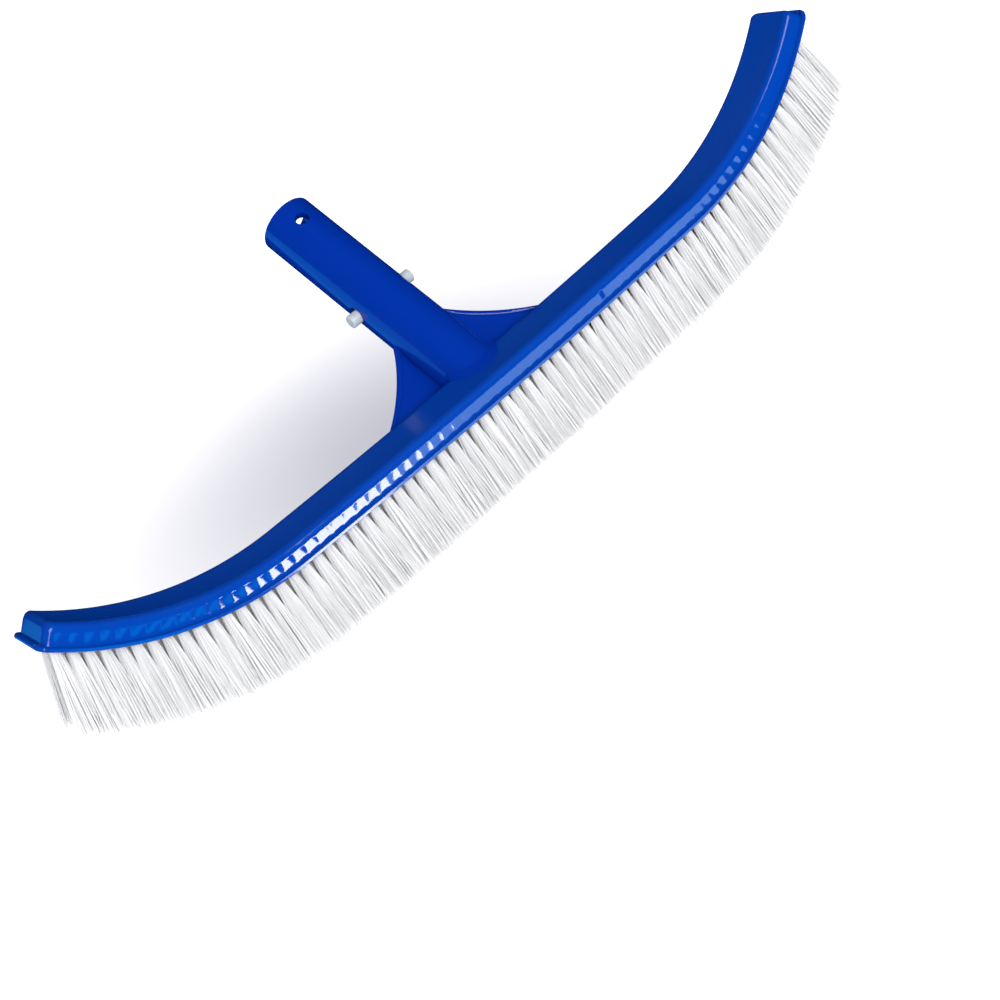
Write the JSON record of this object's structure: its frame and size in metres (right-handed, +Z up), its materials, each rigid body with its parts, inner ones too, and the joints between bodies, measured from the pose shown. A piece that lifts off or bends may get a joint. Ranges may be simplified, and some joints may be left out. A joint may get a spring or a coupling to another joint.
{
  "type": "pool wall brush",
  "caption": "Curved pool wall brush: a channel-shaped head with upturned ends, rows of straight bristle tufts, a leaning tubular pole socket with a fan brace, and a sprung snap-pin clip.",
  "frame": {"origin": "on the floor under the middle of the bounding box, bristle tips down", "axes": "+X along the brush, +Z up from the bristle tips to the back, +Y the way the pole socket leans"},
  "size_m": [0.4632, 0.1358, 0.128],
  "materials": {
    "shell_blue": "glossy moulded royal blue",
    "block_blue": "satin moulded blue",
    "clip_milk": "milky natural plastic",
    "nylon": "bundles of white nylon monofilament"
  },
  "bodies": {
    "head": {"back_shell": "shell_blue", "tuft_block": "block_blue", "pole_socket": "shell_blue", "brace_wing_left": "shell_blue", "brace_wing_right": "shell_blue", "clip_bow": "clip_milk", "tuft_row_1_strip_1": "nylon", "tuft_row_1_strip_2": "nylon", "tuft_row_1_strip_3": "nylon", "tuft_row_1_strip_4": "nylon", "tuft_row_1_strip_5": "nylon", "tuft_row_2_strip_1": "nylon", "tuft_row_2_strip_2": "nylon", "tuft_row_2_strip_3": "nylon", "tuft_row_2_strip_4": "nylon", "tuft_row_2_strip_5": "nylon", "tuft_row_3_strip_1": "nylon", "tuft_row_3_strip_2": "nylon", "tuft_row_3_strip_3": "nylon", "tuft_row_3_strip_4": "nylon", "tuft_row_3_strip_5": "nylon", "tuft_row_4_strip_1": "nylon", "tuft_row_4_strip_2": "nylon", "tuft_row_4_strip_3": "nylon", "tuft_row_4_strip_4": "nylon", "tuft_row_4_strip_5": "nylon"},
    "left_leg": {"clip_leg_left": "clip_milk", "snap_pin_left": "clip_milk"},
    "right_leg": {"clip_leg_right": "clip_milk", "snap_pin_right": "clip_milk"}
  },
  "joints": [
    {"name": "left_pin_press", "type": "hinge", "parent": "head", "child": "left_leg", "pos_m": [-0.0022, -0.01838, 0.05355], "axis": [0, 0.6347, -0.7727], "range_deg": [0, 7.3], "stiffness_Nm_per_rad": 2.5, "springref_deg": -5.73},
    {"name": "right_pin_press", "type": "hinge", "parent": "head", "child": "right_leg", "pos_m": [0.0022, -0.01838, 0.05355], "axis": [0, -0.6347, 0.7727], "range_deg": [0, 7.3], "stiffness_Nm_per_rad": 2.5, "springref_deg": -5.73}
  ]
}
